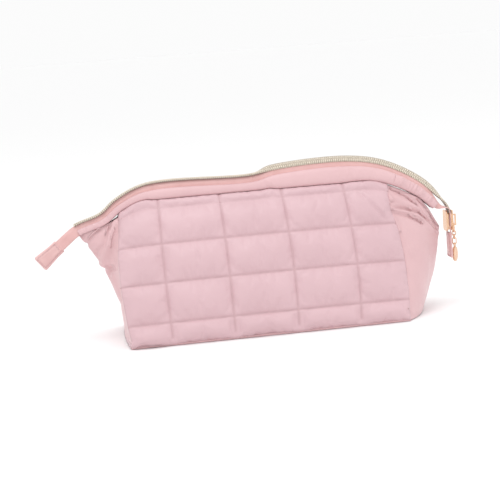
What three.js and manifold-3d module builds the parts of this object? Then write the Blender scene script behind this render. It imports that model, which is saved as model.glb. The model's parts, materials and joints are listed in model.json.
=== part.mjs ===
// A soft cosmetics pouch with a quilted front and rear, plain folded ends, a
// zip that arches over the top and droops past both ends, and a charm puller.
// Millimetres, +Z up, +X towards the closed end of the zip, front at -Y.
// The origin is the middle of the underside of the base.

import * as THREE from 'three';
import { mergeVertices } from 'three/addons/utils/BufferGeometryUtils.js';
import Module from 'manifold-3d';

const wasm = await Module();
wasm.setup();

// ---- driving dimensions ----

const bodyLength = 206; // between the two side seams of a quilted panel
const baseDepth = 96; // between the front and rear bottom edges
const crestHeight = 118; // middle of the zip chain above the ground
const clearance = 0.3; // between pieces that touch

const panelThickness = 4; // quilted shell with its wadding
const liningThickness = 0.8;
const gussetThickness = 1.5;
const leftTipOut = 1.5; // the left end's gathered top reaches past its hem
const rightTipBack = 7.2; // the right end's gathered top, inside the slider
const rightTipBelow = 3.5; // and below the slider's middle
const basePanelThickness = 3;
const gussetFoot = 0.4; // underside of an end panel above the ground
// how far an end panel stands out at the base: the right end is full, the left one caves in
const footBulge = { left: 2, right: 19 };
const ridgeBow = { left: -8, right: 3 };

const tapeThickness = 0.5;
const coilWidth = 2.8; // one row of the zip chain
const coilThickness = 2.2;
const bandTop = 5.6; // fabric tube under the zip: its upper edge below the chain
const bandSeamDrop = 17.6; // and the seam along its lower edge, below the crest
const bandLeaf = 1.2; // one wall of that tube
const stayWidth = 4.2;
const stayThickness = 0.6;
const stayInset = 0.7; // below the tube's upper edge

const tabLength = 21;
const tabWidth = 12.2;
const tabLeaf = 0.7;

const sliderLength = 15.5;
const sliderWidth = 10.4;
const sliderPlate = 1;
const sliderChannel = 3.4; // between its two plates
const sliderWall = 0.9;
const archLength = 8.7;
const archReach = 3.2;
const archBar = 1;
const archBarPlay = 0.3; // between the arch and the sides of the first link

const linkWire = 0.4; // radius
const linkWidth = 3.6;
const linkLengths = [7.8, 4.4, 4.4, 6.0];
const linkPlay = 0.15; // between two links that hang on each other
const charmHeight = 11.2;
const charmWidth = 8.4;
const charmThickness = 1.8;
const charmBail = 3.8;

// ---- shape of the closed zip, seen from the front ----

const halfLength = bodyLength / 2;
const halfDepth = baseDepth / 2;
const centreGap = 0.5; // tape to the middle plane
const wallLean = Math.atan2(halfDepth - centreGap, crestHeight);
const coilLean = THREE.MathUtils.degToRad(60);
const coilGap = 0.75;
const flat = Math.PI / 2;

const zipEnd = halfLength + 43; // the zip hangs straight down at this x
const sliderMiddle = crestHeight - 53.5;

// Each knot is [x, height]. The names give the places that other pieces need.
const knots = [
  [-halfLength - 45.9, crestHeight - 43.4],
  [-halfLength - 29.8, crestHeight - 31.8],
  [-halfLength - 10.5, crestHeight - 25],
  [-halfLength + 1.5, crestHeight - 15.7],
  [-halfLength + 24, crestHeight - 6.3],
  [0, crestHeight - 6.1],
  [14.5, crestHeight - 2.7],
  [halfLength - 33, crestHeight - 0.8],
  [halfLength - 4.5, crestHeight - 6.3],
  [halfLength + 22.8, crestHeight - 21.1],
  [halfLength + 36.5, crestHeight - 34.9],
  [zipEnd, sliderMiddle + 0.5 * sliderLength + 1],
  [zipEnd, sliderMiddle],
  [zipEnd, sliderMiddle - 0.5 * sliderLength - 6],
];
const knot = { tail: 0, leftTip: 1, leftShoulder: 4, rightShoulder: 7,
  rightWing: 9, twistStart: 10, twistEnd: 11, slider: 12, rightTail: 13 };
const zipPath = new THREE.CatmullRomCurve3(
  knots.map(([x, z]) => new THREE.Vector3(x, 0, z)), false, 'centripetal');

const { lerp, smoothstep } = THREE.MathUtils;

// The frame of one half of the zip at knot position k: down runs along the
// tape away from the chain, out is its outer face. side is -1 front, 1 rear.
function zipFrame(k, side, lean, gap) {
  const t = k / (knots.length - 1);
  const along = zipPath.getTangent(t);
  const inward = new THREE.Vector3(along.z, 0, -along.x);
  const across = new THREE.Vector3(0, side, 0);
  return {
    origin: zipPath.getPoint(t).addScaledVector(across, gap),
    down: inward.clone().multiplyScalar(Math.cos(lean)).addScaledVector(across, Math.sin(lean)),
    out: across.clone().multiplyScalar(Math.cos(lean)).addScaledVector(inward, -Math.sin(lean)),
  };
}

function pointIn(frame, down, out) {
  return frame.origin.clone().addScaledVector(frame.down, down).addScaledVector(frame.out, out);
}

// The tapes hang like a tent, lie flat inside the slider and close at the tail.
function tapeLean(k) {
  const tailLean = THREE.MathUtils.degToRad(6);
  const twist = smoothstep(k, knot.twistStart, knot.twistEnd);
  return lerp(lerp(tailLean, wallLean, smoothstep(k, knot.tail, knot.leftTip)), flat, twist);
}

function chainLean(k) {
  return lerp(coilLean, flat, smoothstep(k, knot.twistStart, knot.twistEnd));
}

// ---- mesh helpers ----

function outward(geometry) {
  const p = geometry.attributes.position;
  const index = geometry.index.array;
  const corner = (i) => new THREE.Vector3().fromBufferAttribute(p, index[i]);
  let volume = 0;
  for (let i = 0; i < index.length; i += 3) {
    volume += corner(i).dot(corner(i + 1).cross(corner(i + 2)));
  }
  if (volume < 0) index.reverse();
  return geometry;
}

function indexed(points, triangles) {
  const geometry = new THREE.BufferGeometry();
  geometry.setAttribute('position',
    new THREE.Float32BufferAttribute(points.flatMap((p) => [p.x, p.y, p.z]), 3));
  geometry.setIndex(triangles);
  return outward(geometry);
}

// Joins rings of points into a tube whose two ends are capped. The ring's
// outline in its own plane gives the caps.
function tubeOfRings(rings, outline) {
  const n = rings[0].length;
  const triangles = [];
  for (let r = 0; r + 1 < rings.length; r++) {
    for (let i = 0; i < n; i++) {
      const j = (i + 1) % n;
      const [a, b, c, d] = [r * n + i, r * n + j, (r + 1) * n + i, (r + 1) * n + j];
      triangles.push(a, b, d, a, d, c);
    }
  }
  const last = (rings.length - 1) * n;
  const anticlockwise = !THREE.ShapeUtils.isClockWise(outline);
  for (const [a, b, c] of THREE.ShapeUtils.triangulateShape(outline, [])) {
    const start = anticlockwise ? [a, c, b] : [a, b, c];
    const end = anticlockwise ? [a, b, c] : [a, c, b];
    triangles.push(...start, ...end.map((i) => i + last));
  }
  return indexed(rings.flat(), triangles);
}

// Sweeps a section along the zip. section(k) gives [down, out] pairs. All the
// pieces along the zip have their rings at the same places, so they lie close.
const ringsPerKnot = 5;

function sweepZip({ from, to, side, lean, gap, section }) {
  const stations = [from];
  for (let i = Math.floor(from * ringsPerKnot) + 1; i / ringsPerKnot < to; i++) {
    if (i / ringsPerKnot > from) stations.push(i / ringsPerKnot);
  }
  stations.push(to);
  const rings = stations.map((k) => {
    const frame = zipFrame(k, side, lean(k), gap);
    return section(k).map(([down, out]) => pointIn(frame, down, out));
  });
  return tubeOfRings(rings, section(from).map(([down, out]) => new THREE.Vector2(down, out)));
}

// A grid of points becomes a shell of even thickness behind its face.
function shellOfGrid(grid, depthFrom, depthTo, inside) {
  const rows = grid.length;
  const columns = grid[0].length;
  const normalAt = (r, c) => {
    const up = grid[Math.min(r + 1, rows - 1)][c].clone().sub(grid[Math.max(r - 1, 0)][c]);
    const over = grid[r][Math.min(c + 1, columns - 1)].clone().sub(grid[r][Math.max(c - 1, 0)]);
    const normal = up.cross(over).normalize();
    return normal.dot(inside) > 0 ? normal : normal.negate();
  };
  const layer = (depth) => grid.flatMap((row, r) =>
    row.map((p, c) => p.clone().addScaledVector(normalAt(r, c), depth)));
  const points = [...layer(depthFrom), ...layer(depthTo)];
  const back = rows * columns;
  const at = (r, c) => r * columns + c;
  const triangles = [];
  const quad = (a, b, c, d) => triangles.push(a, b, c, a, c, d);
  for (let r = 0; r + 1 < rows; r++) {
    for (let c = 0; c + 1 < columns; c++) {
      quad(at(r, c), at(r, c + 1), at(r + 1, c + 1), at(r + 1, c));
      quad(back + at(r, c), back + at(r + 1, c), back + at(r + 1, c + 1), back + at(r, c + 1));
    }
  }
  for (let c = 0; c + 1 < columns; c++) {
    quad(at(0, c + 1), at(0, c), back + at(0, c), back + at(0, c + 1));
    quad(at(rows - 1, c), at(rows - 1, c + 1), back + at(rows - 1, c + 1), back + at(rows - 1, c));
  }
  for (let r = 0; r + 1 < rows; r++) {
    quad(at(r, 0), at(r + 1, 0), back + at(r + 1, 0), back + at(r, 0));
    quad(at(r + 1, columns - 1), at(r, columns - 1), back + at(r, columns - 1),
      back + at(r + 1, columns - 1));
  }
  return indexed(points, triangles);
}

function box(sx, sy, sz, x = 0, y = 0, z = 0) {
  return new THREE.BoxGeometry(sx, sy, sz).translate(x, y, z);
}

function manifoldOf(geometry) {
  let bare = geometry.clone();
  bare.deleteAttribute('normal');
  bare.deleteAttribute('uv');
  bare = mergeVertices(bare, 1e-4);
  return new wasm.Manifold(new wasm.Mesh({
    numProp: 3,
    vertProperties: new Float32Array(bare.attributes.position.array),
    triVerts: new Uint32Array(bare.index.array),
  }));
}

function joined(...geometries) {
  const mesh = geometries.map(manifoldOf).reduce((a, b) => a.add(b)).getMesh();
  const geometry = new THREE.BufferGeometry();
  geometry.setAttribute('position', new THREE.Float32BufferAttribute(mesh.vertProperties, 3));
  geometry.setIndex([...mesh.triVerts]);
  return geometry;
}

// ---- materials ----

const finish = (color, roughness, metalness = 0) =>
  new THREE.MeshStandardMaterial({ color, roughness, metalness });
const material = {
  shell: finish(0xe8c8cd, 0.55),
  plain: finish(0xecced2, 0.5),
  lining: finish(0xf1dbdc, 0.7),
  tape: finish(0xf0c3bf, 0.8),
  coil: finish(0xcfc5b4, 0.35, 0.8),
  stay: finish(0xc9ccd0, 0.4, 0.9),
  gold: finish(0xe0b98a, 0.25, 1),
};

const bag = new THREE.Group();

function add(name, geometry, look, parent = bag) {
  const mesh = new THREE.Mesh(geometry, look);
  mesh.name = name;
  parent.add(mesh);
  return mesh;
}

// ---- fabric tube under the zip: where its edges run ----

const coverLean = Math.cos(wallLean);
const tip = { left: { top: 4.2, bottom: 7.4 }, right: { top: 4.4, bottom: 9.2 } };
const bandEnd = { left: knot.leftTip, right: knot.twistStart + 0.2 };

function bandSpan(k) {
  const heightAt = (q) => zipPath.getPoint(q / (knots.length - 1)).z;
  const shoulder = THREE.MathUtils.clamp(k, knot.leftShoulder, knot.rightShoulder);
  const top = bandTop;
  const bottom = (heightAt(shoulder) - crestHeight + bandSeamDrop) / coverLean - bandLeaf;
  if (k === shoulder) return [top, bottom];
  const [end, sharpness] = k < shoulder ? [tip.left, 0.35] : [tip.right, 0.8];
  const limit = k < shoulder ? bandEnd.left : bandEnd.right;
  const share = ((k - shoulder) / (limit - shoulder)) ** sharpness;
  const eased = k < shoulder ? smoothstep(share, 0, 1) : share;
  return [lerp(top, end.top, eased), lerp(bottom, end.bottom, eased)];
}

const outerLeafFrom = tapeThickness / 2 + 2 * clearance + stayThickness;
const innerLeafFrom = tapeThickness / 2 + clearance;
const bandOuter = outerLeafFrom + bandLeaf;
const bandInner = innerLeafFrom + bandLeaf;

// The line just under the tube, where the quilted and end panels are sewn on.
function underBand(k, side, below) {
  const frame = zipFrame(k, side, tapeLean(k), centreGap);
  return pointIn(frame, bandSpan(k)[1] + bandLeaf + below, 0);
}

function knotWhereUnderBand(x, below) {
  let [low, high] = [knot.leftTip, bandEnd.right];
  for (let i = 0; i < 40; i++) {
    const middle = (low + high) / 2;
    if (underBand(middle, -1, below).x < x) low = middle;
    else high = middle;
  }
  return (low + high) / 2;
}

// ---- one wall of the pouch, front or rear ----

const seamBelow = bandInner * Math.sin(wallLean) + clearance;
const wallFoot = 2; // the sloped panel starts this far up its slope
const panelInner = panelThickness / 2 + 0.35;
const panelOuter = panelThickness - panelInner;

// The tube ends at the side seams, and a hem carries on along each wing.
const sideSeam = { left: knotWhereUnderBand(-halfLength, 0), right: knotWhereUnderBand(halfLength, 0) };
const seamGap = 0.02; // in knots

// An outline in the wall's own plane: x, and distance up the slope.
function wallOutline(halfWidth, foot, below) {
  const from = knotWhereUnderBand(-halfWidth, below);
  const to = knotWhereUnderBand(halfWidth, below);
  const steps = 24;
  const shape = new THREE.Shape();
  shape.moveTo(-halfWidth, foot);
  shape.lineTo(halfWidth, foot);
  for (let i = steps; i >= 0; i--) {
    const p = underBand(lerp(from, to, i / steps), -1, below);
    const x = i === steps ? halfWidth : i === 0 ? -halfWidth : p.x;
    shape.lineTo(x, p.z / coverLean);
  }
  shape.closePath();
  return shape;
}

function slab(shape, thickness) {
  return new THREE.ExtrudeGeometry(shape, { depth: thickness, bevelEnabled: false, steps: 1 });
}

// The group stands a flat outline up, leans it inwards and sets it at the edge.
function wallGroup(side) {
  const group = new THREE.Group();
  group.position.set(0, side * halfDepth, 0);
  group.rotation.x = flat + side * wallLean;
  bag.add(group);
  return group;
}

const panelHalfWidth = halfLength - clearance;
const liningHalfWidth = halfLength - panelThickness;
const liningFoot = wallFoot + basePanelThickness + liningThickness + 2 * clearance;

for (const [name, side] of [['front', -1], ['rear', 1]]) {
  const group = wallGroup(side);
  // in the group +Z is forwards, which is outwards only on the front wall
  const place = (inner, outer) => (side < 0 ? -inner : -outer);
  add(`${name}_panel`, slab(wallOutline(panelHalfWidth, wallFoot, seamBelow), panelThickness),
    material.shell, group).position.z = place(panelInner, panelOuter);
  const liningOuter = -(panelInner + clearance);
  add(`${name}_lining`,
    slab(wallOutline(liningHalfWidth, liningFoot, seamBelow + clearance), liningThickness),
    material.lining, group).position.z = place(liningThickness - liningOuter, liningOuter);

  add(`${name}_tape`, sweepZip({
    from: knot.tail + 0.02, to: knot.rightTail - 0.1, side, lean: tapeLean,
    gap: centreGap,
    section: (k) => {
      const upper = lerp(lerp(0.6, 2.8, smoothstep(k, knot.tail, knot.leftTip)), 3.7,
        smoothstep(k, knot.rightWing, knot.twistStart + 0.3));
      const spread = Math.min(smoothstep(k, knot.leftTip, knot.leftShoulder),
        1 - smoothstep(k, knot.rightWing, knot.twistEnd));
      const narrow = k < knot.leftShoulder ? 8.4 : 5.2;
      const full = bandSpan(THREE.MathUtils.clamp(k, bandEnd.left, bandEnd.right))[1]
        - clearance;
      const lower = Math.min(lerp(narrow, full, spread),
        k < bandEnd.left || k > bandEnd.right ? narrow : full);
      const half = tapeThickness / 2;
      return [[upper, -half], [lower, -half], [lower, half], [upper, half]];
    },
  }), material.tape);

  add(`${name}_coil`, sweepZip({
    from: knot.leftTip, to: knot.twistEnd + 0.45, side, lean: chainLean, gap: coilGap,
    section: () => {
      const half = coilThickness / 2;
      return [[0, -half], [coilWidth, -half], [coilWidth, half], [0, half]];
    },
  }), material.coil);

  const bandPiece = (from, to) => sweepZip({
    from, to, side, lean: tapeLean, gap: centreGap,
    section: (k) => {
      const [top, bottom] = bandSpan(k);
      return [[top, -bandInner], [bottom + bandLeaf, -bandInner],
        [bottom + bandLeaf, bandOuter], [top, bandOuter], [top, outerLeafFrom],
        [bottom, outerLeafFrom], [bottom, -innerLeafFrom], [top, -innerLeafFrom]];
    },
  });
  add(`${name}_rim_band`, bandPiece(sideSeam.left + seamGap, sideSeam.right - seamGap),
    material.plain);
  add(`${name}_left_wing_hem`, bandPiece(bandEnd.left, sideSeam.left - seamGap), material.plain);
  add(`${name}_right_wing_hem`, bandPiece(sideSeam.right + seamGap, bandEnd.right),
    material.plain);
}

// ---- stays: flat spring strips inside the two fabric tubes ----

for (const [name, side] of [['front', -1], ['rear', 1]]) {
  add(`${name}_rim_stay`, sweepZip({
    from: knot.leftShoulder, to: knot.rightShoulder, side, lean: tapeLean, gap: centreGap,
    section: (k) => {
      const upper = bandSpan(k)[0] + stayInset;
      const inner = tapeThickness / 2 + clearance;
      return [[upper, inner], [upper + stayWidth, inner],
        [upper + stayWidth, inner + stayThickness], [upper, inner + stayThickness]];
    },
  }), material.stay);
}

// ---- base ----

const baseHalfDepth = halfDepth - panelThickness - 2 * clearance;

// How far an end panel stands out beyond the side seams, at ground level.
const footReach = (end, s) => footBulge[end] * (1 - (1 - s) ** 2);

function baseOutline(inset) {
  const steps = 8;
  const shape = new THREE.Shape();
  const edge = baseHalfDepth - inset;
  const reach = (end, s) => halfLength - 2 * gussetThickness - clearance - inset + footReach(end, s);
  for (const [direction, from] of [[1, -1], [-1, 1]]) {
    for (let i = 0; i <= 2 * steps; i++) {
      const across = from + (direction * i) / steps;
      const x = direction * reach(direction > 0 ? 'right' : 'left', 1 - Math.abs(across));
      if (direction > 0 && i === 0) shape.moveTo(x, edge * across);
      else shape.lineTo(x, edge * across);
    }
  }
  shape.closePath();
  return shape;
}

add('base_panel', slab(baseOutline(0), basePanelThickness), material.shell);
add('base_lining', slab(baseOutline(5 * liningThickness), liningThickness), material.lining)
  .position.z = basePanelThickness + clearance;

// ---- end panels ----

const blend = (a, b, share) => a.clone().lerp(b, share);

// A patch between four edges that meet at its corners.
function patch(first, last, foot, top) {
  return (s, v) => {
    const ruled = blend(first(v), last(v), s).add(blend(foot(s), top(s), v));
    const corners = blend(blend(foot(0), foot(1), s), blend(top(0), top(1), s), v);
    return ruled.sub(corners);
  };
}

function gussetGrid(end, foot, upTo) {
  const direction = end === 'right' ? 1 : -1;
  const below = clearance + gussetThickness * 0.7;
  const corner = knotWhereUnderBand(direction * halfLength, below);
  const limit = bandEnd[end];
  const underTip = underBand(limit, -1, below);
  const tipPoint = end === 'right' ? new THREE.Vector3(zipEnd - rightTipBack, 0, sliderMiddle - rightTipBelow)
    : new THREE.Vector3(underTip.x - leftTipOut, 0, underTip.z);
  const top = (s) => underBand(lerp(corner, limit, s), -1, below)
    .lerp(tipPoint, smoothstep(s, 0.6, 1));
  const footEdge = (s) => new THREE.Vector3(direction * (halfLength + footReach(end, s)),
    -baseHalfDepth * (1 - s), foot);
  const seam = (v) => blend(footEdge(0), top(0), v);
  const ridge = (v) => blend(footEdge(1), tipPoint, v)
    .add(new THREE.Vector3(direction * ridgeBow[end] * 4 * v * (1 - v), 0, 0));
  const at = patch(seam, ridge, footEdge, top);
  const [rows, columns] = [9, 6];
  const grid = [];
  for (let r = 0; r <= rows; r++) {
    const front = [];
    for (let c = 0; c <= columns; c++) front.push(at(c / columns, (upTo * r) / rows));
    const rear = front.slice(0, -1).reverse().map((p) => new THREE.Vector3(p.x, -p.y, p.z));
    grid.push([...front, ...rear]);
  }
  return grid;
}

// The lining stops short of the side seams, where the wall linings stand.
function liningGrid(grid) {
  const share = 0.08;
  return grid.map((row) => row.map((p) => new THREE.Vector3(p.x, p.y * (1 - share), p.z)));
}

const liningFloor = basePanelThickness + liningThickness + 2 * clearance;
const liningTop = 0.86; // the end linings stop short of the wing tips

for (const end of ['left', 'right']) {
  const inwards = new THREE.Vector3(end === 'right' ? -1 : 1, 0, 0);
  add(`${end}_gusset`, shellOfGrid(gussetGrid(end, gussetFoot, 1), 0, gussetThickness, inwards),
    material.plain);
  const face = gussetThickness + clearance;
  add(`${end}_gusset_lining`,
    shellOfGrid(liningGrid(gussetGrid(end, liningFloor, liningTop)), face, face + liningThickness, inwards),
    material.lining);
}

// ---- end tabs: a strip folded over the ends of the two tapes ----

function tabOutline(length, halfThickness, pointed) {
  const inner = halfThickness - tabLeaf;
  const pocket = 6;
  const foldFrom = pointed ? 0.55 * length : length - halfThickness;
  const foldHalf = pointed ? 0.3 : 0.5 * halfThickness;
  return new THREE.Shape([[inner, 0], [halfThickness, 0], [halfThickness, -foldFrom],
    [foldHalf, -length], [-foldHalf, -length], [-halfThickness, -foldFrom], [-halfThickness, 0],
    [-inner, 0], [-inner, -pocket], [inner, -pocket]].map(([x, y]) => new THREE.Vector2(x, y)));
}

// Extruded along its width, the tab hangs down -Y and is flat across X.
function tab(length, width, halfThickness, pointed) {
  return slab(tabOutline(length, halfThickness, pointed), width).translate(0, 0, -width / 2);
}

const leftTabHalf = 2.4;
const leftTabMiddle = 4.8; // its middle line below the edge of the tape
const tailFrame = zipFrame(knot.tail, -1, 0, 0);
const tailAlong = zipPath.getTangent(0);
const leftTab = add('left_end_tab', tab(tabLength, tabWidth, leftTabHalf, false), material.tape);
// the tab's length runs on from the tape, its width across the tape, flats to front and rear
leftTab.setRotationFromMatrix(new THREE.Matrix4().makeBasis(
  new THREE.Vector3(0, 1, 0), tailAlong, tailFrame.down));
leftTab.position.copy(pointIn(tailFrame, leftTabMiddle, 0)).addScaledVector(tailAlong, 2.5);

const rightTabHalf = 1.4;
const rightTab = add('right_end_tab', tab(tabLength - 1.5, tabWidth, rightTabHalf, true),
  material.tape);
// flats towards and away from the pouch
rightTab.rotation.x = flat;
rightTab.position.set(zipEnd, 0, sliderMiddle - 0.5 * sliderLength - 1.2);

// ---- slider: two plates joined by a post, with an arch for the puller ----

const linkHole = linkWidth / 2 - 2 * linkWire; // half the width of a link's hole
const archWidth = 2 * (linkHole - archBarPlay);

function sliderPlateOutline() {
  const [mouth, tail, length] = [sliderWidth / 2, sliderWidth / 2 - 0.5, sliderLength / 2];
  return new THREE.Shape([[-mouth, -length + 2], [-mouth + 1.5, -length], [mouth - 1.5, -length],
    [mouth, -length + 2], [mouth, -1], [tail, length - 1], [tail - 1, length],
    [-tail + 1, length], [-tail, length - 1], [-mouth, -1]].map(([x, y]) => new THREE.Vector2(x, y)));
}

function sliderBody() {
  const toRest = new THREE.Matrix4().makeBasis(new THREE.Vector3(0, 1, 0),
    new THREE.Vector3(0, 0, 1), new THREE.Vector3(1, 0, 0));
  const plate = slab(sliderPlateOutline(), sliderPlate).applyMatrix4(toRest);
  const inner = sliderChannel / 2;
  const overlap = 0.1;
  const parts = [plate.clone().translate(inner, 0, 0),
    plate.clone().translate(-inner - sliderPlate, 0, 0),
    box(sliderChannel + 2 * overlap, 1.6, 3.2, 0, 0, -sliderLength / 2 + 2.2)];
  const slot = tapeThickness + 2 * 2 * clearance;
  const flangeHeight = (sliderChannel - slot) / 2 + overlap;
  for (const side of [-1, 1]) {
    for (const face of [-1, 1]) {
      parts.push(box(flangeHeight, sliderWall, sliderLength - 6, face * (slot + flangeHeight) / 2,
        side * (sliderWidth / 2 - sliderWall / 2 - 0.55), 0.3));
    }
  }
  const foot = inner + sliderPlate - overlap;
  const reach = archReach + overlap;
  parts.push(box(archBar, archWidth, archLength, foot + reach - archBar / 2, 0, 0),
    box(reach, archWidth, archBar, foot + reach / 2, 0, archLength / 2 - archBar / 2),
    box(reach, archWidth, archBar, foot + reach / 2, 0, -archLength / 2 + archBar / 2));
  return joined(...parts);
}

add('slider_body', sliderBody(), material.gold).position.set(zipEnd, 0, sliderMiddle);

// ---- puller: four links and a charm, hanging on the slider's arch ----

// A round wire bent to a long ring that stands in the YZ or the XZ plane.
function link(length, width, crossways) {
  const around = 16;
  const radius = width / 2 - linkWire;
  const ring = new THREE.TorusGeometry(radius, linkWire, 8, around);
  ring.rotateZ(Math.PI / around);
  const p = ring.attributes.position;
  const half = length / 2 - width / 2;
  for (let i = 0; i < p.count; i++) p.setY(i, p.getY(i) + Math.sign(p.getY(i)) * half);
  return ring.rotateX(flat).rotateZ(crossways ? 0 : flat);
}

const archHang = zipEnd + sliderChannel / 2 + sliderPlate + archReach / 2 - archBar / 2 + 0.1;
// a link's round end rides up on what passes through it, by its half width
const rideUp = (half) => linkHole - Math.sqrt(linkHole ** 2 - half ** 2);
let hangTop = sliderMiddle - archLength / 2 + archBar + 2 * linkWire + linkPlay
  + rideUp(archWidth / 2);
linkLengths.forEach((length, i) => {
  const crossways = i % 2 === 1;
  add(`puller_link_${i + 1}`, link(length, linkWidth, crossways), material.gold)
    .position.set(archHang, 0, hangTop - length / 2);
  hangTop += -length + 4 * linkWire + linkPlay + rideUp(linkWire);
});

function charm() {
  const disc = new THREE.Shape().absellipse(0, 0, charmWidth / 2, charmHeight / 2, 0, 2 * Math.PI);
  const bevel = 0.45;
  const body = new THREE.ExtrudeGeometry(disc, { depth: charmThickness - 2 * bevel,
    bevelThickness: bevel, bevelSize: bevel, bevelOffset: -bevel, bevelSegments: 2,
    curveSegments: 14 }).translate(0, 0, bevel - charmThickness / 2).rotateX(flat).rotateZ(flat);
  const bail = link(charmBail, linkWidth, false);
  const sunk = 0.7; // the bail is soldered into the rim
  return joined(body.translate(0, 0, -charmHeight / 2 + sunk), bail.translate(0, 0, charmBail / 2));
}

const charmTurn = THREE.MathUtils.degToRad(35); // hangs half turned to the front
const charmMesh = add('charm', charm(), material.gold);
const turnedRide = rideUp(linkWire / Math.cos(charmTurn)) - rideUp(linkWire);
charmMesh.position.set(archHang, 0, hangTop + turnedRide - charmBail);
charmMesh.rotation.z = -charmTurn;

export default bag;
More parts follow.
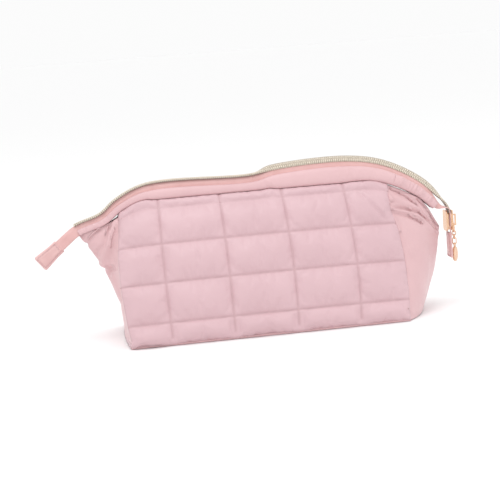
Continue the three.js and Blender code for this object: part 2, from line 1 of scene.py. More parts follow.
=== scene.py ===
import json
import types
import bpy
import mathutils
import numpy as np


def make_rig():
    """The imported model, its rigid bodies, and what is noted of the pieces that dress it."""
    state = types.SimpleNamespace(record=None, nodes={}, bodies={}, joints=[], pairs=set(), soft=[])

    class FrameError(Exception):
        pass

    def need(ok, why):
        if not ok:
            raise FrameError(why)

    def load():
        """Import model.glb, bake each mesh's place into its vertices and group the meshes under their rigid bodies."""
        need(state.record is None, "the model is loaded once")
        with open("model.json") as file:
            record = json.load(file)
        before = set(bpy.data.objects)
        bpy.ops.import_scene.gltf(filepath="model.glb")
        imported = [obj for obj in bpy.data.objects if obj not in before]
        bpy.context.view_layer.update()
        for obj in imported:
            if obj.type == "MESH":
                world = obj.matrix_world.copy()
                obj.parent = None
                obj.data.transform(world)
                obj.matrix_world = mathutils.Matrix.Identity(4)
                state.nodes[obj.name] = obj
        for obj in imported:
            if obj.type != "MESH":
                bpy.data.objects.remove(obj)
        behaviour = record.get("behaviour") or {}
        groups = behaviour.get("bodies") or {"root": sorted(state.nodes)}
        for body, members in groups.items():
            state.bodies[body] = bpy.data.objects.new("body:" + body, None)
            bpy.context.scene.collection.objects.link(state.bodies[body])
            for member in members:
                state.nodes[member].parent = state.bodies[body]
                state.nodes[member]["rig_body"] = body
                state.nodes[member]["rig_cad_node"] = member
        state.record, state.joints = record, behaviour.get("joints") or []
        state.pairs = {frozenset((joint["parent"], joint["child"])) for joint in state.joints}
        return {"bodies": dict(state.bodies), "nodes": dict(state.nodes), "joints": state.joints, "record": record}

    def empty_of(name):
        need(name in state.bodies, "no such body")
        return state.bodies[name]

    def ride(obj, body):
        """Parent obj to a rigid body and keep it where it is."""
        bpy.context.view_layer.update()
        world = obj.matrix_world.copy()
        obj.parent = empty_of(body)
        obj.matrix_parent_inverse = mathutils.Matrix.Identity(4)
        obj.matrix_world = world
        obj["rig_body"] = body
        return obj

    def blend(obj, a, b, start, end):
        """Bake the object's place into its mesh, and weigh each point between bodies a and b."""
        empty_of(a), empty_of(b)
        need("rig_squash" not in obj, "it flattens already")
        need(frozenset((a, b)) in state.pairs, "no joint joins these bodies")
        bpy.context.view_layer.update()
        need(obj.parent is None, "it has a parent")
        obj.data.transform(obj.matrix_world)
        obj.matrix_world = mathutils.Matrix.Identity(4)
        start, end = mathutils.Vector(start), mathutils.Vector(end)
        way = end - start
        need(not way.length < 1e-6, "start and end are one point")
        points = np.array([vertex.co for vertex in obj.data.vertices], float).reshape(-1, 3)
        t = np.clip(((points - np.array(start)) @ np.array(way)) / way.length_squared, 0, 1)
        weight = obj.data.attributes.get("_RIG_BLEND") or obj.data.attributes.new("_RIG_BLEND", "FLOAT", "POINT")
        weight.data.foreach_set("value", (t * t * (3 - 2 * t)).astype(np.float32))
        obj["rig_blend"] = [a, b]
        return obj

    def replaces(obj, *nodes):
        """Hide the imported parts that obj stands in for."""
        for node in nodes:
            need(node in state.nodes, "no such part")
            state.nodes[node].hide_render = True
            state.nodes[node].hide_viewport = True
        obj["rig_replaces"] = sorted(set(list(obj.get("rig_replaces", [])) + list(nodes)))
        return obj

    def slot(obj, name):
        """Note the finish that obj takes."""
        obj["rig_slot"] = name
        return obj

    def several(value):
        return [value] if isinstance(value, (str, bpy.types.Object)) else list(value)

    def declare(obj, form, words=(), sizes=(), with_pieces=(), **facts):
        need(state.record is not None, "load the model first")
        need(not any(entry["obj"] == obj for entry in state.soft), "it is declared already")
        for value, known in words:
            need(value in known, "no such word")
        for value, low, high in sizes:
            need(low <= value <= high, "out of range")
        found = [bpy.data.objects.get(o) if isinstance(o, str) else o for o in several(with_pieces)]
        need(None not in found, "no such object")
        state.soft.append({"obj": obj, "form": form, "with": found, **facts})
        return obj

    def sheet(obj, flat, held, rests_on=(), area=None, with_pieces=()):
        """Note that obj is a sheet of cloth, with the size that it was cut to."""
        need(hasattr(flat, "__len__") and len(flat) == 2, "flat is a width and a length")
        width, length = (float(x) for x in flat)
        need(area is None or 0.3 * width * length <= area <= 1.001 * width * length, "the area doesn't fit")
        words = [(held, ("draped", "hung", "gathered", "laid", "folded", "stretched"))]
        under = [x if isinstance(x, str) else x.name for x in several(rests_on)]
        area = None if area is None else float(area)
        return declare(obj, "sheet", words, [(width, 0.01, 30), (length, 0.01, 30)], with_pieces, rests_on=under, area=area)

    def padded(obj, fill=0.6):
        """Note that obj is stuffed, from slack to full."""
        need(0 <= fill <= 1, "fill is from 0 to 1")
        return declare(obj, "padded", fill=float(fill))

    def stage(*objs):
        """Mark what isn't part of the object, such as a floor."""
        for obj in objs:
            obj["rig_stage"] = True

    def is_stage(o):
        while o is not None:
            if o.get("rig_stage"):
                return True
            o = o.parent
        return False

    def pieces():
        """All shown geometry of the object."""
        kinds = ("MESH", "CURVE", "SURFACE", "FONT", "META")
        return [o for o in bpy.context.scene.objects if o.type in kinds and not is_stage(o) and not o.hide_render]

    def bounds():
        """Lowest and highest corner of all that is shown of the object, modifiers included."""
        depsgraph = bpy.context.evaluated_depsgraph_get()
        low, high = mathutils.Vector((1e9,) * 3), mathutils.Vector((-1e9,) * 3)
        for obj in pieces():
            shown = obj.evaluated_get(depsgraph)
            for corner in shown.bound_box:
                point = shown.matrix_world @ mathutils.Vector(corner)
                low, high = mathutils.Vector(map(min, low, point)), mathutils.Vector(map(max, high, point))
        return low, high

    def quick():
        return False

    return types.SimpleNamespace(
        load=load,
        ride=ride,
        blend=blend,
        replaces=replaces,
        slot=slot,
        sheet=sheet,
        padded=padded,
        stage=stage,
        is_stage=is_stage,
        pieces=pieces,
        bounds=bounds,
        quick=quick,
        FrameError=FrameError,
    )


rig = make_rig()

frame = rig.load()
cad_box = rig.bounds()

import json
import math

import bpy
import numpy as np
from mathutils import Matrix, Vector, noise

# ---- Camera, floor and light ----
# A long lens a metre away, a little above the pouch, over a plain pale floor.
# Soft light comes from all round, with a large lamp overhead and a weak one to the right.

MM = 0.001
scene = bpy.context.scene
scene.view_settings.view_transform = "Standard"

view_turn = math.radians(-7.0)
view_height = math.radians(8.35)
view_roll = math.radians(-4.46)
aim = Vector((-5.7, 0, 56.2)) * MM
back = Vector((
    math.sin(view_turn) * math.cos(view_height),
    -math.cos(view_turn) * math.cos(view_height),
    math.sin(view_height),
))
camera = bpy.data.objects.new("camera", bpy.data.cameras.new("camera"))
scene.collection.objects.link(camera)
scene.camera = camera
camera.data.lens = 102
camera.data.sensor_width = 36
camera.location = aim + back * 1.05
upright = (-back).to_track_quat("-Z", "Y").to_matrix()
camera.rotation_euler = (upright @ Matrix.Rotation(view_roll, 3, "Z")).to_euler()
camera.data.clip_start = 0.05
camera.data.clip_end = 90


def shader(name, **values):
    """A new material with its shader's plain numbers and colours set on its own sockets."""
    material = bpy.data.materials.new(name)
    material.use_nodes = True
    surface = material.node_tree.nodes["Principled BSDF"]
    for socket, value in values.items():
        surface.inputs[socket.replace("_", " ")].default_value = value
    return material, material.node_tree, surface


floor_finish, _, floor_surface = shader("pale_floor", Roughness=0.9, Specular_IOR_Level=0.1)
floor_surface.inputs["Base Color"].default_value = (0.92, 0.92, 0.92, 1)
floor_mesh = bpy.data.meshes.new("floor")
floor_mesh.from_pydata([(-40, -40, 0), (40, -40, 0), (40, 40, 0), (-40, 40, 0)], [], [(0, 1, 2, 3)])
floor_mesh.materials.append(floor_finish)
floor = bpy.data.objects.new("floor", floor_mesh)
scene.collection.objects.link(floor)
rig.stage(floor)

world = bpy.data.worlds.new("studio")
world.use_nodes = True
sky = world.node_tree.nodes
heights = sky.new("ShaderNodeSeparateXYZ")
glow = sky.new("ShaderNodeMapRange")
glow.inputs["From Min"].default_value = 0.05
glow.inputs["To Min"].default_value = 0.97
glow.inputs["To Max"].default_value = 1.1
upwards = sky.new("ShaderNodeTexCoord")
world.node_tree.links.new(upwards.outputs["Generated"], heights.inputs["Vector"])
world.node_tree.links.new(heights.outputs["Z"], glow.inputs["Value"])
world.node_tree.links.new(glow.outputs["Result"], sky["Background"].inputs["Strength"])
sky["Background"].inputs["Color"].default_value = (1, 1, 1, 1)
scene.world = world


def soft_lamp(name, place, width, watts):
    data = bpy.data.lights.new(name, "AREA")
    data.shape = "DISK"
    data.size = width
    data.energy = watts
    lamp = bpy.data.objects.new(name, data)
    lamp.location = place
    lamp.rotation_euler = (aim - Vector(place)).to_track_quat("-Z", "Y").to_euler()
    scene.collection.objects.link(lamp)


soft_lamp("overhead", (-0.2, -0.35, 1.5), 0.9, 6)
soft_lamp("right_side", (1.3, -0.7, 0.8), 0.8, 0.8)

# ---- The line of the zip ----
# Every soft piece hangs from the closed zip: it arches over the pouch, droops past
# both ends and turns downwards at the slider. Lengths here are in millimetres.

HALF_LENGTH = 103.0
HALF_DEPTH = 48.0
CREST = 118.0
CENTRE_GAP = 0.5
ZIP_END = HALF_LENGTH + 43
SLIDER_MIDDLE = CREST - 53.5
WALL_LEAN = math.atan2(HALF_DEPTH - CENTRE_GAP, CREST)
COVER = math.cos(WALL_LEAN)
TAIL, LEFT_TIP, LEFT_SHOULDER = 0, 1, 4
RIGHT_SHOULDER, RIGHT_WING, TWIST_START, TWIST_END, RIGHT_TAIL = 7, 9, 10, 11, 13

knots = np.array([
    (-148.9, 74.6), (-132.8, 86.2), (-113.5, 93.0), (-101.5, 102.3), (-79.0, 111.7),
    (0.0, 111.9), (14.5, 115.3), (70.0, 117.2), (98.5, 111.7), (125.8, 96.9),
    (139.5, 83.1), (ZIP_END, 73.25), (ZIP_END, SLIDER_MIDDLE), (ZIP_END, 50.75),
])


def smooth(x, low=0.0, high=1.0):
    t = np.clip((np.asarray(x, float) - low) / (high - low), 0, 1)
    return t * t * (3 - 2 * t)


def mix(a, b, share):
    return a + (b - a) * share


def zip_point(k):
    """The middle of the chain at knot position k, on a centripetal Catmull-Rom curve."""
    i = int(min(max(math.floor(k), 0), len(knots) - 2))
    p1, p2 = knots[i], knots[i + 1]
    p0 = knots[i - 1] if i else 2 * p1 - p2
    p3 = knots[i + 2] if i + 2 < len(knots) else 2 * p2 - p1
    d0, d1, d2 = (math.dist(a, b) ** 0.5 for a, b in ((p0, p1), (p1, p2), (p2, p3)))
    m1 = ((p1 - p0) / d0 - (p2 - p0) / (d0 + d1) + (p2 - p1) / d1) * d1
    m2 = ((p2 - p1) / d1 - (p3 - p1) / (d1 + d2) + (p3 - p2) / d2) * d1
    t = k - i
    x, z = (p1 + m1 * t + (3 * (p2 - p1) - 2 * m1 - m2) * t * t
            + (2 * (p1 - p2) + m1 + m2) * t ** 3)
    return np.array([x, 0.0, z])


def zip_way(k):
    """The direction of the chain at knot position k."""
    along = zip_point(k + 0.001) - zip_point(k - 0.001)
    return along / np.linalg.norm(along)


def tape_lean(k):
    hang = mix(math.radians(6), WALL_LEAN, smooth(k, TAIL, LEFT_TIP))
    return float(mix(hang, math.pi / 2, smooth(k, TWIST_START + 0.35, TWIST_END)))


def tape_point(k, side, down, out):
    """A point down the tape from the chain and out from its face. side is -1 front, 1 rear."""
    lean, along = tape_lean(k), zip_way(k)
    inward = np.array([along[2], 0, -along[0]])
    across = np.array([0.0, side, 0.0])
    way_down = inward * math.cos(lean) + across * math.sin(lean)
    way_out = across * math.cos(lean) - inward * math.sin(lean)
    return zip_point(k) + across * CENTRE_GAP + way_down * down + way_out * out


BAND_TOP = 5.6
BAND_SEAM = CREST - 17.6
BAND_LEAF = 1.2
HEM_TIP = {"left": (4.2, 7.4), "right": (4.4, 9.2)}
HEM_END = {"left": LEFT_TIP, "right": TWIST_START + 0.2}


def band_span(k):
    """Where the fabric tube under the zip starts and ends, down the tape from the chain."""
    shoulder = min(max(k, LEFT_SHOULDER), RIGHT_SHOULDER)
    bottom = (zip_point(shoulder)[2] - BAND_SEAM) / COVER
    if k == shoulder:
        return BAND_TOP, bottom
    end, sharpness = ("left", 0.35) if k < shoulder else ("right", 0.8)
    share = min(1.0, (k - shoulder) / (HEM_END[end] - shoulder)) ** sharpness
    share = float(smooth(share)) if end == "left" else share
    tip_top, tip_bottom = HEM_TIP[end]
    return mix(BAND_TOP, tip_top, share), mix(bottom, tip_bottom + BAND_LEAF, share)


def under_band(k, side, below):
    return tape_point(k, side, band_span(k)[1] + below, 0)


hem_places = np.linspace(HEM_END["left"], HEM_END["right"], 400)
hem_x, hem_y, hem_z = np.array([under_band(k, -1, 0.6) for k in hem_places]).T
CORNER = {
    "left": float(np.interp(-HALF_LENGTH, hem_x, hem_places)),
    "right": float(np.interp(HALF_LENGTH, hem_x, hem_places)),
}
END_WAY = {"left": -1, "right": 1}
WALL_BODY = {-1: "front_wall", 1: "rear_wall"}


def wall_point(x, slope, out, side):
    """A point on the front or rear wall: along it, up its slope and out from its face."""
    y = -HALF_DEPTH + slope * math.sin(WALL_LEAN) - out * COVER
    z = slope * COVER + out * math.sin(WALL_LEAN)
    return np.stack(np.broadcast_arrays(x, -side * y, z), -1)


def wall_top(x):
    """How far up the slope the seam under the tube is, at x."""
    return np.interp(x, hem_x, hem_z / COVER)


def wall_surface(x, slope, out, side):
    """The wall's face, drawn in near its top to meet the foot of the tube."""
    point = wall_point(x, slope, out, side)
    seam_y = np.interp(x, hem_x, hem_y)
    top = wall_top(x)
    pull = seam_y - (-HALF_DEPTH + top * math.sin(WALL_LEAN))
    point[..., 1] -= side * pull * smooth(slope, top - 18, top)
    return point


# ---- Quilted front and rear panels ----
# Satin nylon sewn through thin wadding in 45 by 29 mm boxes, then sewn between the
# end panels and to the tube above. The stitched lines are held and the cloth between
# them puffs up under pressure; the foot rolls under the base.

quilt_columns = [(-71.0, -1.0), (-26.4, 0.5), (19.4, 1.5), (65.0, 2.5)]
quilt_rows = [16.5, 45.4, 74.0, 100.0]
panel_slope = 107.0
level_to = 70.0
column_steps = [20, 30, 30, 30, 25]
row_steps = [7, 19, 19, 17, 5]
roll_rows = 7
ROLL_TOP = 6.0
pad_back = -2.2
seam_heights = [0, 0.2, 0.45, 0.7, 0.82, 0.9, 1]
seam_reach = {
    "left": [-100.0, -102.6, -105.0, -104.6, -102.6, -101.4, -100.8],
    "right": [101.2, 103.6, 104.4, 102.4, 98.8, 99.4, 100.4],
}


def seam_x(end, share):
    """The side seam bows outwards at half height, and is pinched near the right top."""
    fine = np.interp(np.linspace(0, 1, 201), seam_heights, seam_reach[end])
    for _ in range(60):
        fine[1:-1] = (fine[:-2] + 2 * fine[1:-1] + fine[2:]) / 4
    return np.interp(share, np.linspace(0, 1, 201), fine)


def steps_between(stops, counts):
    parts = [np.linspace(a, b, n, endpoint=False) for a, b, n in zip(stops, stops[1:], counts)]
    return np.concatenate([*parts, stops[-1:]])


def box_of(at, stops):
    """Share of the way across the quilted box that holds each place."""
    i = np.clip(np.searchsorted(stops, at, side="right") - 1, 0, len(stops) - 2)
    stops = np.asarray(stops, float)
    return (at - stops[i]) / (stops[i + 1] - stops[i])


def grid_faces(rows, columns, first=0, flip=False):
    faces = []
    for r in range(rows - 1):
        for c in range(columns - 1):
            a = first + r * columns + c
            quad = (a, a + 1, a + columns + 1, a + columns)
            faces.append(quad[::-1] if flip else quad)
    return faces


def new_piece(name, points, faces, material):
    """A mesh from points in millimetres, shaded smooth."""
    mesh = bpy.data.meshes.new(name)
    mesh.from_pydata([tuple(p) for p in np.asarray(points, float).reshape(-1, 3) * MM], [], faces)
    mesh.materials.append(material)
    mesh.shade_smooth()
    piece = bpy.data.objects.new(name, mesh)
    scene.collection.objects.link(piece)
    return piece


def settled(piece):
    """Turns the piece's modifiers into plain mesh."""
    depsgraph = bpy.context.evaluated_depsgraph_get()
    mesh = bpy.data.meshes.new_from_object(piece.evaluated_get(depsgraph))
    mesh.name = piece.name
    piece.modifiers.clear()
    piece.data = mesh
    return piece


def closed_pad(outer, inner):
    """Points and faces of a pad between two grids that share their rim."""
    rows, columns = outer.shape[:2]
    back = rows * columns
    faces = grid_faces(rows, columns) + grid_faces(rows, columns, back, flip=True)
    rim = ([(0, c) for c in range(columns)]
           + [(r, columns - 1) for r in range(1, rows)]
           + [(rows - 1, c) for c in range(columns - 2, -1, -1)]
           + [(r, 0) for r in range(rows - 2, 0, -1)])
    rim = [r * columns + c for r, c in rim]
    for a, b in zip(rim, rim[1:] + rim[:1]):
        faces.append((b, a, a + back, b + back))
    points = np.concatenate([outer.reshape(-1, 3), inner.reshape(-1, 3)])
    return points, face_outwards(points, faces)


def face_outwards(points, faces):
    """Turns every face over if the closed shape they make is inside out."""
    points = np.asarray(points, float).reshape(-1, 3)
    volume = 0.0
    for face in faces:
        a, b, c = points[face[0]], points[face[1]], points[face[2]]
        volume += a @ np.cross(b, c)
        if len(face) == 4:
            volume += a @ np.cross(c, points[face[3]])
    return [f[::-1] for f in faces] if volume < 0 else faces


def puffed(grid, held, pressure, slack, cap):
    """Runs cloth under pressure on a grid that is held along its stitches."""
    rows, columns = grid.shape[:2]
    scale = 10.0
    mesh = bpy.data.meshes.new("cloth")
    mesh.from_pydata([tuple(p) for p in grid.reshape(-1, 3) * MM * scale], [],
                     grid_faces(rows, columns))
    cloth = bpy.data.objects.new("cloth", mesh)
    scene.collection.objects.link(cloth)
    group = cloth.vertex_groups.new(name="stitched")
    group.add([int(i) for i in np.flatnonzero(held.ravel())], 1.0, "REPLACE")
    sim = cloth.modifiers.new("puff", "CLOTH")
    sim.settings.quality = 6
    sim.settings.mass = 0.25
    sim.settings.tension_stiffness = 25
    sim.settings.compression_stiffness = 25
    sim.settings.shear_stiffness = 8
    sim.settings.bending_stiffness = 0.35
    sim.settings.use_pressure = True
    sim.settings.uniform_pressure_force = pressure
    sim.settings.shrink_min = -slack
    sim.settings.vertex_group_mass = "stitched"
    sim.settings.effector_weights.gravity = 0
    sim.collision_settings.use_collision = False
    sim.point_cache.frame_start = 1
    sim.point_cache.frame_end = 18
    for frame_number in range(1, 19):
        scene.frame_set(frame_number)
    moved = cloth.evaluated_get(bpy.context.evaluated_depsgraph_get()).data
    found = np.empty(len(moved.vertices) * 3)
    moved.vertices.foreach_get("co", found)
    found = found.reshape(grid.shape) / MM / scale
    bpy.data.objects.remove(cloth)
    scene.frame_set(1)
    shift = found - grid
    far = np.linalg.norm(shift, axis=-1, keepdims=True)
    return grid + shift * np.minimum(1, cap / np.maximum(far, 1e-9))


def dent(points, line, width):
    """1 on a line of points, falling away to each side over width."""
    line = np.asarray(line, float)
    best = np.full(points.shape[:-1], 1e9)
    for a, b in zip(line, line[1:]):
        along = b - a
        t = np.clip(((points - a) @ along) / (along @ along), 0, 1)
        best = np.minimum(best, np.linalg.norm(points - a - t[..., None] * along, axis=-1))
    return np.exp(-((best / width) ** 2))


def lumps(points, size, seed):
    """Smooth noise from -1 to 1 at each point, size millimetres across."""
    flat = points.reshape(-1, 3) / size + seed * 17.3
    return np.array([noise.noise(Vector(p)) for p in flat]).reshape(points.shape[:-1])


def cloth_colours(material, light, deep, patch):
    """Base colour that drifts a little between two dye shades, in Object coordinates."""
    tree = material.node_tree
    place = tree.nodes.new("ShaderNodeTexCoord")
    drift = tree.nodes.new("ShaderNodeTexNoise")
    drift.inputs["Scale"].default_value = patch
    drift.inputs["Detail"].default_value = 3
    ramp = tree.nodes.new("ShaderNodeValToRGB")
    ramp.color_ramp.elements[0].position = 0.3
    ramp.color_ramp.elements[0].color = (*deep, 1)
    ramp.color_ramp.elements[1].position = 0.7
    ramp.color_ramp.elements[1].color = (*light, 1)
    tree.links.new(place.outputs["Object"], drift.inputs["Vector"])
    tree.links.new(drift.outputs["Fac"], ramp.inputs["Fac"])
    tree.links.new(ramp.outputs["Color"], tree.nodes["Principled BSDF"].inputs["Base Color"])
    return place, drift


def weave(material, place, pitch, depth, crumple_scale, crumple):
    """Two crossed sets of threads, over a soft crumple of the cloth."""
    tree = material.node_tree
    surface = tree.nodes["Principled BSDF"]
    crumples = tree.nodes.new("ShaderNodeTexNoise")
    crumples.inputs["Scale"].default_value = crumple_scale
    crumples.inputs["Detail"].default_value = 4
    crumples.inputs["Roughness"].default_value = 0.45
    tree.links.new(place.outputs["Object"], crumples.inputs["Vector"])
    bump = tree.nodes.new("ShaderNodeBump")
    bump.inputs["Strength"].default_value = 0.5
    bump.inputs["Distance"].default_value = crumple
    tree.links.new(crumples.outputs["Fac"], bump.inputs["Height"])
    for direction in ("X", "Z"):
        threads = tree.nodes.new("ShaderNodeTexWave")
        threads.bands_direction = direction
        threads.inputs["Scale"].default_value = math.pi / 10 / pitch
        threads.inputs["Distortion"].default_value = 0.6
        tree.links.new(place.outputs["Object"], threads.inputs["Vector"])
        next_bump = tree.nodes.new("ShaderNodeBump")
        next_bump.inputs["Strength"].default_value = 0.35
        next_bump.inputs["Distance"].default_value = depth
        tree.links.new(threads.outputs["Fac"], next_bump.inputs["Height"])
        tree.links.new(bump.outputs["Normal"], next_bump.inputs["Normal"])
        bump = next_bump
    tree.links.new(bump.outputs["Normal"], surface.inputs["Normal"])


quilt_satin, quilt_tree, quilt_surface = shader("quilted_satin", Roughness=0.42,
                                                Specular_IOR_Level=0.35, Sheen_Weight=0.25,
                                                Sheen_Roughness=0.35)
place, _ = cloth_colours(quilt_satin, (0.67, 0.46, 0.49), (0.635, 0.43, 0.46), 30)
weave(quilt_satin, place, 0.0004, 0.00004, 160, 0.0006)
# Painted shade: the mesh's "seam" value mixes the satin towards a darker pink along the stitched lines and side edges,
# standing in for the shade in the stitched creases.
seam_painted_shade = quilt_tree.nodes.new("ShaderNodeAttribute")
seam_painted_shade.attribute_name = "seam"
shade = quilt_tree.nodes.new("ShaderNodeMix")
shade.data_type = "RGBA"
base_colour = quilt_surface.inputs["Base Color"]
dyed = base_colour.links[0].from_socket
quilt_tree.links.new(seam_painted_shade.outputs["Fac"], shade.inputs["Factor"])
quilt_tree.links.new(dyed, shade.inputs["A"])
shade.inputs["B"].default_value = (0.565, 0.372, 0.395, 1)
quilt_tree.links.new(shade.outputs["Result"], base_colour)

thread_finish, _, _ = shader("pink_thread", Roughness=0.5, Sheen_Weight=0.2)
cloth_colours(thread_finish, (0.60, 0.38, 0.40), (0.54, 0.33, 0.35), 900)


def bar_tree(name, material):
    """Puts a rounded bar on every point, turned by the attributes along and outward."""
    tree = bpy.data.node_groups.new(name, "GeometryNodeTree")
    face = tree.interface
    face.new_socket("Geometry", in_out="INPUT", socket_type="NodeSocketGeometry")
    sizes = {}
    for size in ("Length", "Width", "Height", "Unevenness"):
        sizes[size] = face.new_socket(size, in_out="INPUT", socket_type="NodeSocketFloat")
    face.new_socket("Geometry", in_out="OUTPUT", socket_type="NodeSocketGeometry")
    n = {}
    for key, kind in (("in", "NodeGroupInput"), ("out", "NodeGroupOutput"),
                      ("along", "GeometryNodeInputNamedAttribute"),
                      ("outward", "GeometryNodeInputNamedAttribute"),
                      ("turn", "FunctionNodeAxesToRotation"), ("size", "ShaderNodeCombineXYZ"),
                      ("low", "ShaderNodeMath"), ("random", "FunctionNodeRandomValue"),
                      ("scale", "ShaderNodeVectorMath"), ("cube", "GeometryNodeMeshCube"),
                      ("round", "GeometryNodeSubdivisionSurface"),
                      ("place", "GeometryNodeInstanceOnPoints"),
                      ("real", "GeometryNodeRealizeInstances"),
                      ("finish", "GeometryNodeSetMaterial"),
                      ("smooth", "GeometryNodeSetShadeSmooth")):
        n[key] = tree.nodes.new(kind)
    for key in ("along", "outward"):
        n[key].data_type = "FLOAT_VECTOR"
        n[key].inputs["Name"].default_value = key
    n["turn"].primary_axis = "Z"
    n["turn"].secondary_axis = "X"
    n["low"].operation = "SUBTRACT"
    n["low"].inputs[0].default_value = 1
    n["random"].data_type = "FLOAT"
    n["random"].inputs[3].default_value = 1
    n["random"].inputs["Seed"].default_value = 5
    n["scale"].operation = "SCALE"
    n["cube"].inputs["Size"].default_value = (1.15, 1.15, 1.15)
    n["round"].inputs["Level"].default_value = 1
    n["round"].inputs["Edge Crease"].default_value = 0.3
    n["finish"].inputs["Material"].default_value = material
    for giver, given, taker, taken in (
            ("outward", "Attribute", "turn", "Primary Axis"),
            ("along", "Attribute", "turn", "Secondary Axis"),
            ("in", "Length", "size", "X"),
            ("in", "Width", "size", "Y"),
            ("in", "Height", "size", "Z"),
            ("in", "Unevenness", "low", 1),
            ("low", "Value", "random", 2),
            ("size", "Vector", "scale", 0),
            ("random", 1, "scale", "Scale"),
            ("cube", "Mesh", "round", "Mesh"),
            ("in", "Geometry", "place", "Points"),
            ("round", "Mesh", "place", "Instance"),
            ("turn", "Rotation", "place", "Rotation"),
            ("scale", "Vector", "place", "Scale"),
            ("place", "Instances", "real", "Geometry"),
            ("real", "Geometry", "smooth", "Geometry"),
            ("smooth", "Geometry", "finish", "Geometry"),
            ("finish", "Geometry", "out", "Geometry")):
        tree.links.new(n[giver].outputs[given], n[taker].inputs[taken])
    return tree, {size: socket.identifier for size, socket in sizes.items()}


def bars(name, tree_and_inputs, points, along, outward, **sizes):
    """One mesh of bars, each centred on a point in millimetres."""
    tree, identifiers = tree_and_inputs
    mesh = bpy.data.meshes.new(name)
    mesh.from_pydata([tuple(p) for p in np.asarray(points) * MM], [], [])
    for key, ways in (("along", along), ("outward", outward)):
        attribute = mesh.attributes.new(key, "FLOAT_VECTOR", "POINT")
        attribute.data.foreach_set("vector", np.asarray(ways, np.float32).ravel())
    piece = bpy.data.objects.new(name, mesh)
    scene.collection.objects.link(piece)
    modifier = piece.modifiers.new("bars", "NODES")
    modifier.node_group = tree
    for size, value in sizes.items():
        modifier[identifiers[size]] = value
    return settled(piece)


def reach_along(line):
    """How far along a line of points each of them is."""
    return np.concatenate([[0], np.cumsum(np.linalg.norm(np.diff(line, axis=0), axis=1))])


def evenly(line, pitch):
    """Points and directions every pitch along a line of points."""
    line = np.asarray(line, float)
    reach = reach_along(line)
    at = np.arange(pitch / 2, reach[-1], pitch)
    spots, ahead, behind = (np.stack([np.interp(at + step, reach, line[:, i]) for i in range(3)], -1)
                            for step in (0, 0.1, -0.1))
    ways = ahead - behind
    return spots, ways / np.linalg.norm(ways, axis=1, keepdims=True)


stitch_bars = bar_tree("stitches", thread_finish)


def quilted_panel(side):
    """The panel's outer face as a grid, puffed up between its stitched lines."""
    slopes = steps_between(np.array([ROLL_TOP, *quilt_rows, panel_slope]), row_steps)
    rows, columns = roll_rows + len(slopes), sum(column_steps) + 1
    grid = np.zeros((rows, columns, 3))
    held = np.zeros((rows, columns), bool)
    for r in range(rows):
        level = slopes[max(r - roll_rows, 0)]
        v = level / panel_slope
        lift = (level - level_to) / (panel_slope - level_to)
        bow = math.sin(math.pi * v)
        ends = []
        for end, corner_x in (("left", -101), ("right", 101)):
            edge = float(wall_top(corner_x))
            rising = level * (mix(1, (edge + 1) / panel_slope, lift) if lift > 0 else 1)
            ends.append(float(seam_x(end, min(1, rising / edge))))
        stops = [ends[0], *(x + b * bow for x, b in quilt_columns), ends[1]]
        x = steps_between(np.array(stops), column_steps)
        top = wall_top(x) + 1.0
        slope = level * np.where(lift > 0, mix(1, top / panel_slope, lift), 1)
        u = (x - stops[0]) / (stops[-1] - stops[0])
        crown = 5.0 * (1 - np.abs(2 * u - 1) ** 3) * math.sin(math.pi * min(v, 1)) ** 0.8
        pillow = (np.sin(np.pi * box_of(x, stops)) * math.sin(
            math.pi * float(box_of(level, [0, *quilt_rows, panel_slope])))) ** 0.4
        near_side = np.minimum(x - stops[0], stops[-1] - x)
        near_top = top - slope
        tuck = 1.0 * np.exp(-near_side / 1.3) + 0.9 * np.exp(-near_top / 1.5)
        out = 0.9 + crown + 1.3 * pillow - tuck
        if r < roll_rows:
            t = r / roll_rows
            upper = wall_surface(x, ROLL_TOP, out, side)
            start = np.stack([x, np.full_like(x, side * 44.2), np.full_like(x, 0.45)], -1)
            knee = np.stack([x, np.full_like(x, side * 49.6), np.full_like(x, 0.0)], -1)
            grid[r] = start * (1 - t) ** 2 + knee * 2 * t * (1 - t) + upper * t * t
        else:
            grid[r] = wall_surface(x, slope, out, side)
        held[r, np.cumsum([0, *column_steps])] = True
    held[:, [0, -1]] = True
    held[[0, -1]] = True
    held[roll_rows + np.cumsum(row_steps)[:-1]] = True
    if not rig.quick():
        grid = puffed(grid, held, pressure=5.0, slack=0.035, cap=4.0)
    return grid


